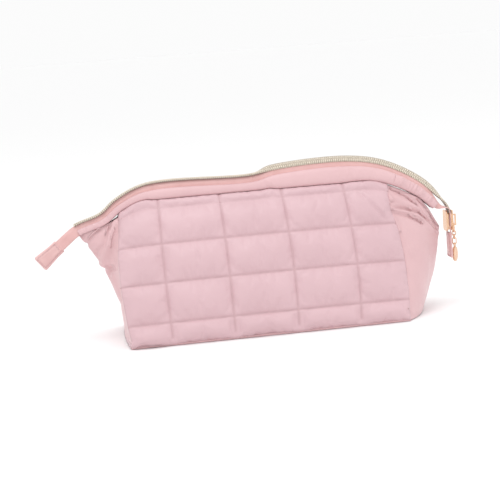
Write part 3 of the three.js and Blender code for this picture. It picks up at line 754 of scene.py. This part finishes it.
def finish_panel(name, node, side, seed):
    grid = quilted_panel(side)
    outwards = np.array([0, side * COVER, math.sin(WALL_LEAN)])
    x, slope = grid[..., 0], grid[..., 2] / COVER
    fold = [wall_point(77, 98, 3, side), wall_point(86, 86, 5, side), wall_point(93, 77, 4, side)]
    fold_side = [p + np.array([3.2, 0, 1.2]) for p in fold]
    shift = 0.9 * dent(grid, fold_side, 2.4) - 1.3 * dent(grid, fold, 1.5)
    sag = np.exp(-(((x + 88) / 14) ** 2 + ((slope - 5) / 9) ** 2)) * 2.5
    shift = shift + sag + 0.25 * lumps(grid, 14, seed)
    # seam sets both the depth of the stitched grooves and the strength of the painted shade in the satin's colour
    # there (fainter on the top row, 0.9 along the side edges).
    seam = np.zeros(grid.shape[:2])
    for c in np.cumsum(column_steps)[:-1]:
        seam[roll_rows:, c] = 1
    for r in np.cumsum(row_steps)[:-1]:
        seam[roll_rows + r] = 1 if r < sum(row_steps[:-1]) else 0.45
    shift = shift - 0.7 * seam
    seam[roll_rows:, [0, -1]] = 0.9
    grid = grid + shift[..., None] * outwards
    grid[..., 2] = np.maximum(grid[..., 2], 0.2)
    inner = wall_surface(np.clip(grid[..., 0], -102.4, 102.4),
                         np.clip(grid[..., 2] / COVER, 2.0, panel_slope), pad_back, side)
    panel = new_piece(name, *closed_pad(grid, inner), quilt_satin)
    # The seam values paint shade into the outer face's colour along the stitches; the inner face gets none.
    stitched = panel.data.attributes.new("seam", "FLOAT", "POINT")
    stitched.data.foreach_set("value", np.concatenate([seam.ravel(), 0 * seam.ravel()]))
    smoother = panel.modifiers.new("round", "SUBSURF")
    smoother.levels = smoother.render_levels = 1
    settled(panel)
    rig.ride(panel, WALL_BODY[side])
    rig.replaces(panel, node)
    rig.slot(panel, "quilted_fabric")
    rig.padded(panel, fill=0.45)
    return grid


for name, node, side, seed in (("quilted_front", "front_panel", -1, 1),
                               ("quilted_rear", "rear_panel", 1, 2)):
    grid = finish_panel(name, node, side, seed)
    lines = [grid[roll_rows:, c] for c in np.cumsum(column_steps)[:-1]]
    lines += [grid[roll_rows + r] for r in np.cumsum(row_steps)[:-1]]
    spots, ways = zip(*(evenly(line, 2.9) for line in lines))
    spots, ways = np.concatenate(spots), np.concatenate(ways)
    outwards = np.tile([0, side * COVER, math.sin(WALL_LEAN)], (len(spots), 1))
    stitches = bars(name + "_stitches", stitch_bars, spots + outwards * 0.05, ways, outwards,
                    Length=0.0024, Width=0.00042, Height=0.0004, Unevenness=0.15)
    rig.ride(stitches, WALL_BODY[side])
    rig.slot(stitches, "quilted_fabric")

# ---- End panels ----
# One plain piece of the same satin closes each end, folded back on itself along the
# middle and gathered into the wing of the zip. The right end is full, the left caves in.

plain_satin, _, _ = shader("plain_satin", Roughness=0.4, Specular_IOR_Level=0.35,
                           Sheen_Weight=0.25, Sheen_Roughness=0.35)
place, _ = cloth_colours(plain_satin, (0.715, 0.475, 0.49), (0.675, 0.44, 0.455), 26)
weave(plain_satin, place, 0.0004, 0.00004, 130, 0.0009)

foot_bulge = {"left": 2.0, "right": 19.0}
ridge_bow = {"left": -8.0, "right": 3.0}
swell = {"left": -2.5, "right": 3.5}
CLOTH_THICKNESS = 1.0


def end_panel(end, rows, columns, foot=0.6, below=-0.8, rise=1.0):
    """The front half of an end panel as a grid, from the side seam to the middle ridge."""
    way = END_WAY[end]
    corner, limit = CORNER[end], HEM_END[end]
    under_tip = under_band(limit, -1, below)
    tip = (np.array([ZIP_END - 7.2, 0, SLIDER_MIDDLE - 3.5]) if end == "right"
           else np.array([under_tip[0] - 1.5, 0, under_tip[2]]))

    def top(s):
        return mix(under_band(mix(corner, limit, s), -1, below), tip, float(smooth(s, 0.6, 1)))

    def base(s):
        bulge = foot_bulge[end] * (1 - (1 - s) ** 2)
        return np.array([way * (HALF_LENGTH - 1.5 + bulge), -46.5 * (1 - s), foot])

    def seam(v):
        x = float(seam_x(end, v))
        edge = wall_surface(np.array(x - way * 0.7), v * wall_top(x), 0.2, -1)
        edge[1] += 1.2 * (1 - smooth(v, 0, 0.06))
        edge[2] = max(edge[2], foot)
        edge[1:] = mix(edge[1:], top(0)[1:], float(smooth(v, 0.88, 1)))
        return edge

    def ridge(v):
        return mix(base(1), tip, v) + np.array([way * ridge_bow[end] * 4 * v * (1 - v), 0, 0])

    base_0, base_1, top_0, top_1 = base(0), base(1), top(0), tip
    grid = np.zeros((rows, columns, 3))
    for r, v in enumerate(np.linspace(0, rise, rows)):
        for c, s in enumerate(np.linspace(0, 1, columns)):
            ruled = mix(seam(v), ridge(v), s) + mix(base(s), top(s), v)
            grid[r, c] = ruled - mix(mix(base_0, base_1, s), mix(top_0, top_1, s), v)
    return grid


def normals_of(grid, way):
    """The grid's normals, on the side that way points to."""
    up = np.gradient(grid, axis=0)
    over = np.gradient(grid, axis=1)
    normal = np.cross(up, over)
    normal /= np.maximum(np.linalg.norm(normal, axis=-1, keepdims=True), 1e-9)
    return normal * np.where(normal @ np.asarray(way, float) < 0, -1, 1)[..., None]


def grid_area(grid):
    """The area of a grid in millimetres, in square metres."""
    up, over = np.diff(grid, axis=0)[:, :-1], np.diff(grid, axis=1)[:-1]
    return float(np.linalg.norm(np.cross(up, over), axis=-1).sum()) * MM * MM


def cloth_sheet(name, grid, outward, material, thickness=CLOTH_THICKNESS):
    """A grid given its thickness behind its face."""
    return new_piece(name, *closed_pad(grid, grid - outward * thickness), material)


# Where each end starts to unfold, and how much of the wall's turn each millimetre adds.
UNFOLD = {
    "left": ((-105.0, 0, 0), (0.02236, 0.02123, 0.00821)),
    "right": ((122.0, 0, 0), (-0.01959, 0.01395, 0.0054)),
}


def opening_blend(piece, end, side):
    """The ends unfold between the shell and the wall that swings out as the zip opens."""
    start, (x, y, z) = UNFOLD[end]
    start, slope = Vector(start), Vector((x, side * y, z))
    finish = start + slope / slope.length_squared
    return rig.blend(piece, "shell", WALL_BODY[side],
                    start=tuple(start * MM), end=tuple(finish * MM))


def on_grid(grid, places):
    """Points of a grid at (across, up) shares."""
    rows, columns = grid.shape[:2]
    return [grid[round(v * (rows - 1)), round(s * (columns - 1))] for s, v in places]


folds = {
    "right": [
        ([(0, 0.83), (0.2, 0.85), (0.5, 0.86), (0.85, 0.88)], 1.5, -2.4),
        ([(0, 0.80), (0.25, 0.80), (0.5, 0.77)], 1.6, -1.8),
        ([(0.05, 0.82), (0.4, 0.825), (0.8, 0.84)], 2.2, 1.6),
        ([(0, 0.96), (0.25, 0.94), (0.5, 0.91), (0.95, 0.93)], 1.4, -2.0),
        ([(0, 0.90), (0.3, 0.90), (0.6, 0.89), (0.9, 0.91)], 2.6, 1.5),
        ([(0.55, 0.97), (0.8, 0.95), (1, 0.97)], 1.3, -1.4),
        ([(0, 0.86), (0.06, 0.74), (0.12, 0.5)], 2.5, 0.5),
    ],
    "left": [
        ([(0.3, 0.95), (0.55, 0.86), (0.85, 0.8)], 1.8, -1.5),
        ([(0.1, 0.92), (0.35, 0.8), (0.6, 0.68), (0.8, 0.6)], 2.0, -1.2),
        ([(0.15, 0.97), (0.45, 0.84), (0.75, 0.72)], 2.4, 1.3),
        ([(0.5, 0.98), (0.75, 0.93), (1, 0.9)], 1.6, -1.2),
        ([(0.45, 0.655), (0.75, 0.64), (1, 0.66)], 1.9, -1.2),
        ([(0.55, 0.70), (0.8, 0.69), (1, 0.71)], 2.0, 1.2),
        ([(0.3, 0.5), (0.7, 0.35), (1, 0.3)], 4.0, -0.8),
    ],
}
end_rows, end_columns = 120, 56

for end in ("left", "right"):
    way = np.array([END_WAY[end], 0, 0])
    plain = end_panel(end, end_rows, end_columns)
    outward = normals_of(plain, way)
    s = np.linspace(0, 1, end_columns)[None, :]
    v = np.linspace(0, 1, end_rows)[:, None]
    shift = swell[end] * np.sin(math.pi * s) * np.sin(math.pi * v)
    free = smooth(s, 0, 0.07) * smooth(1 - v, 0, 0.05)
    for line, width, depth in folds[end]:
        shift = shift + free * depth * dent(plain, on_grid(plain, line), width)
    gathered = smooth(v, 0.6, 1.0)
    stretched = plain * np.array([0.25, 1, 1])
    shift = shift + gathered * 0.8 * lumps(stretched, 5, 3 if end == "left" else 4)
    shift = shift + 0.9 * lumps(plain, 17, 7 if end == "left" else 8) * np.sin(math.pi * s)
    shift = shift - 0.7 * np.exp(-s * 40 / 1.3) - 0.6 * np.exp(-(1 - v) * 90 / 1.6)
    for name, side in (("front", -1), ("rear", 1)):
        grid = plain + outward * shift[..., None]
        grid[..., 2] = np.maximum(grid[..., 2], 0.2)
        normal = normals_of(grid, way)
        normal[:, -1, 1] = 0
        flip = np.array([1, -side, 1])
        piece = cloth_sheet(f"{name}_{end}_end", grid * flip, normal * flip, plain_satin)
        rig.replaces(piece, f"{end}_gusset")
        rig.slot(piece, "plain_fabric")
        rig.sheet(piece, flat=(0.07, 0.118), area=grid_area(plain), held="gathered",
                 rests_on=[f"{name}_{end}_tape"])
        opening_blend(piece, end, side)

# ---- Fabric tubes under the zip, and the hems that run on along its wings ----
# A strip of plain satin folded round the edge of each tape and its stay, and sewn down.
# Past the side seams it narrows to a hem, with the end panel's gathers pulled into it.

tube_swell = 2.9
NARROWEST = 0.0102


def tube_section(k, ripple):
    """The strip's section: up the front, over the top and down the back, and back inside."""
    top, bottom = band_span(k)
    height = bottom - top
    bend = np.linspace(math.pi, 0, 13)
    down = top + height * (1 - np.cos(bend)) / 2
    out = 0.2 + tube_swell * min(1, height / 9) * np.sin(bend) ** 0.75 * (1 + ripple)
    outer = [*zip(down, out), (top + 0.1, -0.8), (top + 1.2, -1.5), (bottom - 0.3, -1.7)]
    inner = [(max(d, top + 0.8), o - math.copysign(0.6, o + 0.4)) for d, o in outer]
    return outer + inner[::-1]


def swept(stations, side, section, way=tape_point):
    """Rings of points along the zip, each from (down, out) pairs."""
    return np.array([[way(k, side, down, out) for down, out in section(k)] for k in stations])


def capped_tube(rings):
    """Joins rings into a closed skin."""
    count, around = rings.shape[:2]
    faces = []
    for r in range(count - 1):
        for i in range(around):
            j = (i + 1) % around
            faces.append((r * around + i, r * around + j,
                          (r + 1) * around + j, (r + 1) * around + i))
    points = list(rings.reshape(-1, 3))
    for first, flip in ((0, False), ((count - 1) * around, True)):
        middle = len(points)
        points.append(rings.reshape(-1, 3)[first:first + around].mean(0))
        for i in range(around):
            face = (first + i, middle, first + (i + 1) % around)
            faces.append(face[::-1] if flip else face)
    return np.array(points), face_outwards(points, faces)


def strip_cut(stations, section, leaf=16):
    """What a swept strip was cut to, in metres: its widest width, its length and its area."""
    widths = [np.linalg.norm(np.diff(np.array(section(k))[:leaf], axis=0), axis=1).sum() * MM
              for k in stations]
    line = np.array([zip_point(k) for k in stations]) * MM
    length = float(np.linalg.norm(np.diff(line, axis=0), axis=1).sum())
    widest = max(NARROWEST, float(np.max(widths)))
    return {"flat": (widest, length), "area": float(np.mean(widths)) * length}


def ripple_at(k, depth, pitch, seed):
    return depth * noise.noise(Vector((zip_point(k)[0] / pitch, seed * 3.1, 0)))


for name, side, seed in (("front", -1, 11), ("rear", 1, 12)):
    stations = np.linspace(CORNER["left"], CORNER["right"], 300)

    def tube(k):
        pinch = math.exp(-abs(zip_point(k)[0] - zip_point(stations[0])[0]) / 2)
        pinch += math.exp(-abs(zip_point(k)[0] - zip_point(stations[-1])[0]) / 2)
        ripple = ripple_at(k, 0.16, 7, seed) + ripple_at(k, 0.08, 2.5, seed + 5) - 0.2 * pinch
        return tube_section(k, ripple)

    piece = new_piece(f"{name}_tube", *capped_tube(swept(stations, side, tube)), plain_satin)
    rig.ride(piece, f"{name}_wall")
    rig.replaces(piece, f"{name}_rim_band")
    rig.slot(piece, "plain_fabric")
    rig.sheet(piece, **strip_cut(stations, tube), held="folded", rests_on=[f"{name}_tape"])

    for end in ("left", "right"):
        stations = np.linspace(CORNER[end] + (-0.06 if end == "right" else 0.06),
                               HEM_END[end], 110)
        hem_seed = seed + (3 if end == "left" else 6)

        def hem(k):
            gather = ripple_at(k, 0.55, 3.2, hem_seed) + ripple_at(k, 0.3, 1.4, hem_seed + 2)
            return tube_section(k, gather - 0.08)

        skin = capped_tube(swept(stations, side, hem))
        piece = new_piece(f"{name}_{end}_hem", *skin, plain_satin)
        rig.replaces(piece, f"{name}_{end}_wing_hem")
        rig.slot(piece, "plain_fabric")
        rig.sheet(piece, **strip_cut(stations, hem), held="gathered",
                 rests_on=[f"{name}_{end}_tape"])
        opening_blend(piece, end, side)

# ---- Zip tapes ----
# Woven polyester tape, a shade warmer than the satin, folded once beside the chain.
# Each runs the whole zip and is closed at both ends by a folded tab.

tape_cloth, _, _ = shader("zip_tape", Roughness=0.7, Specular_IOR_Level=0.25,
                          Sheen_Weight=0.3, Sheen_Roughness=0.5)
place, _ = cloth_colours(tape_cloth, (0.76, 0.47, 0.455), (0.71, 0.42, 0.405), 120)
weave(tape_cloth, place, 0.0006, 0.00012, 300, 0.0002)


def tape_section(k):
    upper = mix(0.3, 3.7, float(smooth(k, RIGHT_WING, TWIST_START + 0.3)))
    spread = min(float(smooth(k, LEFT_TIP, LEFT_SHOULDER)),
                 1 - float(smooth(k, TWIST_START + 0.2, TWIST_END)))
    narrow = 8.4 if k < LEFT_SHOULDER else 5.2
    inside = HEM_END["left"] <= k <= HEM_END["right"]
    full = band_span(min(max(k, HEM_END["left"]), HEM_END["right"]))[1] - 1.5
    full = max(full, 8.6) if k > TWIST_START else full
    lower = min(mix(narrow, full, spread), full if inside or k > TWIST_START else narrow)
    down = np.linspace(upper, lower, 9)
    fold = 0.45 * np.exp(-(((down - upper - 2.9) / 0.5) ** 2)) * spread
    ripple = 0.16 * noise.noise(Vector((zip_point(k)[0] / 9, 3.7, 0)))
    lift = fold + ripple * np.sin(np.linspace(0, 3, 9)) * spread
    crease = 0.9 * math.exp(-((k - 0.45) / 0.35) ** 2) * np.cos(np.linspace(-1.5, 4.5, 9)) * 0.5
    face = 0.25 + lift + np.maximum(crease, 0)
    return [*zip(down, face), *zip(down[::-1], face[::-1] - 0.5)]


half_stations = {"left": np.linspace(TAIL + 0.02, 5.0, 150),
                 "right": np.linspace(5.0, RIGHT_TAIL - 0.1, 190)}
for name, side in (("front", -1), ("rear", 1)):
    for end in ("left", "right"):
        skin = capped_tube(swept(half_stations[end], side, tape_section))
        piece = new_piece(f"{name}_{end}_tape", *skin, tape_cloth)
        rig.replaces(piece, f"{name}_tape")
        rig.slot(piece, "zip_tape")
        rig.sheet(piece, **strip_cut(half_stations[end], tape_section, 9), held="hung",
                 rests_on=[f"{name}_tube"])
        opening_blend(piece, end, side)

# ---- Zip chain ----
# Two nylon coils with a champagne metal finish, hooked into each other. The chain lies
# flat along the left half, rolls towards the front past the kink, and lies flat again
# where it enters the slider.

coil_finish, _, _ = shader("champagne_coil", Metallic=0.6, Roughness=0.36)
place, _ = cloth_colours(coil_finish, (0.74, 0.665, 0.56), (0.60, 0.53, 0.44), 700)
# The cord's dark brown is painted shade: it stands in for the shadow between and under the coils.
dark_core_painted_shade, _, _ = shader("coil_core", Metallic=0.5, Roughness=0.55)
place, _ = cloth_colours(dark_core_painted_shade, (0.36, 0.31, 0.27), (0.28, 0.24, 0.21), 500)
weave(dark_core_painted_shade, place, 0.0008, 0.0001, 400, 0.0001)

chain_roll = math.radians(50)
coil_pitch = 1.5


def chain_frame(k, side):
    """The middle of the chain, the way across one row, its face, and the way along."""
    along = zip_way(k)
    upward = np.array([-along[2], 0, along[0]])
    roll = chain_roll * float(smooth(k, 5.1, 6.2) - smooth(k, 9.2, 10.6))
    front = np.array([0, -math.cos(roll), 0]) - upward * math.sin(roll)
    face = upward * math.cos(roll) + np.array([0, -math.sin(roll), 0])
    middle = zip_point(k) + upward * 0.35
    return middle, -side * front, face, along


def chain_point(k, side, across, out):
    middle, over, face, _ = chain_frame(k, side)
    return middle + over * across + face * out


def core_section(_):
    """The flat cord that each coil is wound on; its dark brown is painted shade, showing between and under the coils.
    """
    return [(0.1, -0.9), (2.5, -0.9), (2.5, 0.3), (0.1, 0.3)]


chain_stations = np.linspace(LEFT_TIP, TWIST_END + 0.4, 700)
coil_bars = bar_tree("coils", coil_finish)
for name, side in (("front", -1), ("rear", 1)):
    line = np.array([chain_frame(k, side)[0] for k in chain_stations])
    reach = reach_along(line)
    at = np.arange(0.4 + (coil_pitch / 2 if side > 0 else 0), reach[-1] - 0.5, coil_pitch)
    where = np.interp(at, reach, chain_stations)
    frames = [chain_frame(k, side) for k in where]
    spots = np.array([m + a * 1.15 for m, a, f, t in frames])
    faces_up = np.array([f for m, a, f, t in frames])
    ways = np.array([t for m, a, f, t in frames])
    for end in ("left", "right"):
        keep = (spots[:, 0] < 0) == (end == "left")
        teeth = bars(f"{name}_{end}_coil", coil_bars, spots[keep], ways[keep], faces_up[keep],
                     Length=0.00125, Width=0.0030, Height=0.0017, Unevenness=0.0)
        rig.replaces(teeth, f"{name}_coil")
        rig.slot(teeth, "zip_coil")
        opening_blend(teeth, end, side)
        span = chain_stations[(line[:, 0] < 0) == (end == "left")]
        skin = capped_tube(swept(span[::3], side, core_section, chain_point))
        cord = new_piece(f"{name}_{end}_coil_core", *skin, dark_core_painted_shade)
        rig.slot(cord, "zip_coil")
        opening_blend(cord, end, side)

# ---- Base ----
# A flat strip of the quilted satin, stiffened by a plastic sheet sewn inside it. Its
# long edges meet the rolled feet of the walls, and its ends swell with the end panels.

base_rows, base_columns = 36, 90


def base_grid(height, inset):
    grid = np.zeros((base_rows, base_columns, 3))
    for r, across in enumerate(np.linspace(-1, 1, base_rows)):
        near = 1 - abs(across)
        reach = {end: HALF_LENGTH - 1.5 - inset + foot_bulge[end] * (1 - (1 - near) ** 2)
                 for end in ("left", "right")}
        x = np.linspace(-reach["left"], reach["right"], base_columns)
        grid[r] = np.stack([x, np.full_like(x, across * (45.0 - inset)), height(x, across)], -1)
    return grid


def underside(x, across):
    return 0.7 - 0.5 * np.sin(np.pi * np.clip((x + 103) / 206, 0, 1)) ** 0.4 * (1 - across ** 6)


def topside(x, across):
    return np.full_like(x, 2.8) - 0.9 * abs(across) ** 8


leaves = closed_pad(base_grid(underside, 0), base_grid(topside, 1.2))
base = new_piece("base_pad", *leaves, quilt_satin)
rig.ride(base, "shell")
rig.replaces(base, "base_panel")
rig.slot(base, "quilted_fabric")
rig.padded(base, fill=0.2)

# The edge of the base is bound with a narrow strip rolled into a piping along each wall.
piping_turn = np.radians(np.linspace(20, 340, 14))
piping_length = 202.5
for name, side in (("front", -1), ("rear", 1)):
    rings = []
    for x in np.linspace(-101.0, 101.5, 220):
        rise = 1.0 + 0.08 * noise.noise(Vector((x / 9, side, 0)))
        rolled = [(0.9, turn) for turn in piping_turn] + [(0.4, turn) for turn in piping_turn[::-1]]
        rings.append([(x, side * (46.1 - r * math.cos(turn)), rise + r * math.sin(turn))
                      for r, turn in rolled])
    piping = new_piece(f"{name}_base_piping", *capped_tube(np.array(rings)), plain_satin)
    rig.ride(piping, "shell")
    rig.slot(piping, "plain_fabric")
    shown = 0.9 * float(piping_turn[-1] - piping_turn[0])
    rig.sheet(piping, flat=(NARROWEST, piping_length * MM), area=shown * piping_length * MM * MM,
             held="folded", rests_on=["base_pad"])

# ---- Lining ----
# Thin pale taffeta sewn in behind every panel. It hangs a little loose and is only seen
# when the zip is open.

lining_cloth, _, _ = shader("lining_taffeta", Roughness=0.5, Specular_IOR_Level=0.4)
place, _ = cloth_colours(lining_cloth, (0.78, 0.60, 0.58), (0.70, 0.52, 0.50), 40)
weave(lining_cloth, place, 0.0003, 0.00003, 90, 0.0012)


def loose(grid, outward, depth, seed):
    """Creases that die out at the sewn edges."""
    rows, columns = grid.shape[:2]
    edge = np.sin(np.pi * np.linspace(0, 1, rows))[:, None] * np.sin(
        np.pi * np.linspace(0, 1, columns))[None, :]
    crease = lumps(grid, 13, seed) + 0.5 * lumps(grid, 6, seed + 1)
    return grid + outward * (depth * edge ** 0.5 * crease)[..., None]


for name, side in (("front", -1), ("rear", 1)):
    x, level = np.meshgrid(np.linspace(-98.0, 98.0, 90), np.linspace(0.04, 0.955, 48))
    grid = wall_point(x, level * wall_top(x), -3.4, side)
    outwards = np.array([0, side * COVER, math.sin(WALL_LEAN)])
    grid = loose(grid, -outwards * np.ones_like(grid), 0.5, 20 + side)
    piece = cloth_sheet(f"{name}_lining_cloth", grid, outwards * np.ones_like(grid), lining_cloth, 0.4)
    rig.ride(piece, f"{name}_wall")
    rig.replaces(piece, f"{name}_lining")
    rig.slot(piece, "lining_fabric")
    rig.sheet(piece, flat=(0.197, 0.1), held="hung", rests_on=[f"quilted_{name}"])

x, y = np.meshgrid(np.linspace(-97.0, 97.0, 60), np.linspace(-38.0, 38.0, 30))
flat = np.stack([x, y, np.full_like(x, 3.9)], -1)
upward = np.array([0, 0, 1.0]) * np.ones_like(flat)
grid = loose(flat, upward, 0.4, 24)
piece = cloth_sheet("base_lining_cloth", grid, upward, lining_cloth, 0.4)
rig.ride(piece, "shell")
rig.replaces(piece, "base_lining")
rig.slot(piece, "lining_fabric")
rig.sheet(piece, flat=(0.194, 0.078), held="laid", rests_on=["base_pad"])

for end in ("left", "right"):
    way = np.array([END_WAY[end], 0, 0])
    plain = end_panel(end, 60, 28, foot=4.0, below=1.0, rise=0.84)
    inward = -normals_of(plain, way)
    inset = plain + inward * (4.3 + 1.2 * np.linspace(1, 0, 28)[None, :, None])
    inset = loose(inset, inward, 0.5, 25)
    for name, side in (("front", -1), ("rear", 1)):
        flip = np.array([1, -side, 1])
        held = inset.copy()
        held[..., 1] = np.minimum(held[..., 1], -0.05)
        held[..., 2] = np.maximum(held[..., 2], 4.6)
        piece = cloth_sheet(f"{name}_{end}_end_lining", held * flip, -inward * flip, lining_cloth, 0.4)
        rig.replaces(piece, f"{end}_gusset_lining")
        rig.slot(piece, "lining_fabric")
        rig.sheet(piece, flat=(0.065, 0.096), area=grid_area(plain), held="hung",
                 rests_on=[f"{name}_{end}_end"])
        opening_blend(piece, end, side)

# ---- Spring stays ----
# A flat strip of spring steel inside each tube keeps the mouth of the pouch straight.

steel, steel_tree, steel_surface = shader("stay_steel", Metallic=1.0, Roughness=0.32)
place, _ = cloth_colours(steel, (0.62, 0.63, 0.65), (0.52, 0.53, 0.55), 80)
stretch = steel_tree.nodes.new("ShaderNodeMapping")
stretch.inputs["Scale"].default_value = (0.4, 12, 12)
steel_tree.links.new(place.outputs["Object"], stretch.inputs["Vector"])


def fine_marks(tree, surface, where, scale, strength, depth):
    """Fine scratches pressed into polished or brushed metal."""
    marks = tree.nodes.new("ShaderNodeTexNoise")
    marks.inputs["Scale"].default_value = scale
    bump = tree.nodes.new("ShaderNodeBump")
    bump.inputs["Strength"].default_value = strength
    bump.inputs["Distance"].default_value = depth
    tree.links.new(where, marks.inputs["Vector"])
    tree.links.new(marks.outputs["Fac"], bump.inputs["Height"])
    tree.links.new(bump.outputs["Normal"], surface.inputs["Normal"])


fine_marks(steel_tree, steel_surface, stretch.outputs["Vector"], 90, 0.3, 0.00005)
for node in ("front_rim_stay", "rear_rim_stay"):
    for slot in frame["nodes"][node].material_slots:
        slot.material = steel

# ---- End tabs ----
# A short piece of plain satin, folded over each end of the zip and sewn round its edge.


def folded_tab(name, node, body, start, along, across, sizes, flat):
    """A two-leaf tab: it starts at a pinch, flares, and ends in the soft fold of the cloth."""
    length, narrow, wide, thick = sizes
    along, across = np.asarray(along, float), np.asarray(across, float)
    face = np.cross(along, across)
    outer, inner = np.zeros((2, 48, 30, 3))
    for r, v in enumerate(np.linspace(0, 1, 48)):
        for c, u in enumerate(np.linspace(-1, 1, 30)):
            half = mix(narrow, wide, float(smooth(v, 0.2, 1)))
            corner = 0.8 * max(0, abs(u) - 0.8) / 0.2 * max(0, v - 0.85) / 0.15
            place = np.asarray(start) + along * (length * v - corner) + across * half * u
            border = min((1 - abs(u)) * half, (1 - v) * length, v * length + 0.9)
            puff = 0.25 + thick * (1 - math.exp(-border / 0.7))
            puff -= 0.45 * math.exp(-(((border - 1.7) / 0.45) ** 2))
            puff *= 1 + 0.2 * noise.noise(Vector((u * 2.1, v * 3.3, thick)))
            outer[r, c], inner[r, c] = place + face * puff, place - face * puff
    tab = new_piece(name, *closed_pad(outer, inner), tab_satin)
    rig.ride(tab, body)
    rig.replaces(tab, node)
    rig.slot(tab, "plain_fabric")
    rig.sheet(tab, flat=flat, held="folded", rests_on=["front_left_tape" if body == "left_tab"
                                                      else "front_right_tape"])
    spots, ways = [], []
    path = [outer[4:44, 4], outer[44, 4:26], outer[44:4:-1, 25], outer[4, 25:4:-1]]
    for line in path:
        found, directions = evenly(line, 2.0)
        spots.append(found)
        ways.append(directions)
    spots, ways = np.concatenate(spots), np.concatenate(ways)
    for leaf, sign in (("front", 1), ("rear", -1)):
        mirror = spots - np.outer((spots - start) @ face, face) * (1 - sign)
        row = bars(f"{name}_{leaf}_stitches", stitch_bars, mirror + face * sign * 0.05, ways,
                   np.tile(face * sign, (len(ways), 1)),
                   Length=0.0016, Width=0.0004, Height=0.00035, Unevenness=0.1)
        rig.ride(row, body)
        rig.slot(row, "plain_fabric")


tab_satin, _, _ = shader("tab_satin", Roughness=0.45, Specular_IOR_Level=0.3, Sheen_Weight=0.25)
place, _ = cloth_colours(tab_satin, (0.76, 0.49, 0.475), (0.71, 0.44, 0.43), 90)
weave(tab_satin, place, 0.0004, 0.00005, 260, 0.0003)
slant = np.array([-0.785, 0, -0.6195])
folded_tab("left_tab_cloth", "left_end_tab", "left_tab", (-144.7, 0, 72.3), slant,
           (-slant[2], 0, slant[0]), (19.6, 5.1, 6.2, 1.5), (0.0125, 0.02))
folded_tab("right_tab_cloth", "right_end_tab", "right_tab", (146, 0, 55.2), (0, 0, -1),
           (0, 1, 0), (18.8, 5.2, 5.8, 0.9), (0.0112, 0.0188))

# ---- Slider, puller and charm ----
# Cast zinc with a polished rose-gold plating: the slider with its arch, four round wire
# links and an oval medallion with a raised rim.

gold, gold_tree, gold_surface = shader("rose_gold", Metallic=1.0)
place, drift = cloth_colours(gold, (0.85, 0.56, 0.38), (0.76, 0.48, 0.32), 200)
rub = gold_tree.nodes.new("ShaderNodeMapRange")
rub.inputs["To Min"].default_value = 0.16
rub.inputs["To Max"].default_value = 0.34
gold_tree.links.new(drift.outputs["Fac"], rub.inputs["Value"])
gold_tree.links.new(rub.outputs["Result"], gold_surface.inputs["Roughness"])
fine_marks(gold_tree, gold_surface, place.outputs["Object"], 2400, 0.12, 0.00002)
for node in ("slider_body", "puller_link_1", "puller_link_2", "puller_link_3",
             "puller_link_4", "charm"):
    for slot in frame["nodes"][node].material_slots:
        slot.material = gold

# ---- Size, and the end ----

with open("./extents.json", "w") as size_file:
    shown_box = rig.bounds()
    json.dump({"cad": [list(corner) for corner in cad_box],
               "visual": [list(corner) for corner in shown_box]}, size_file)
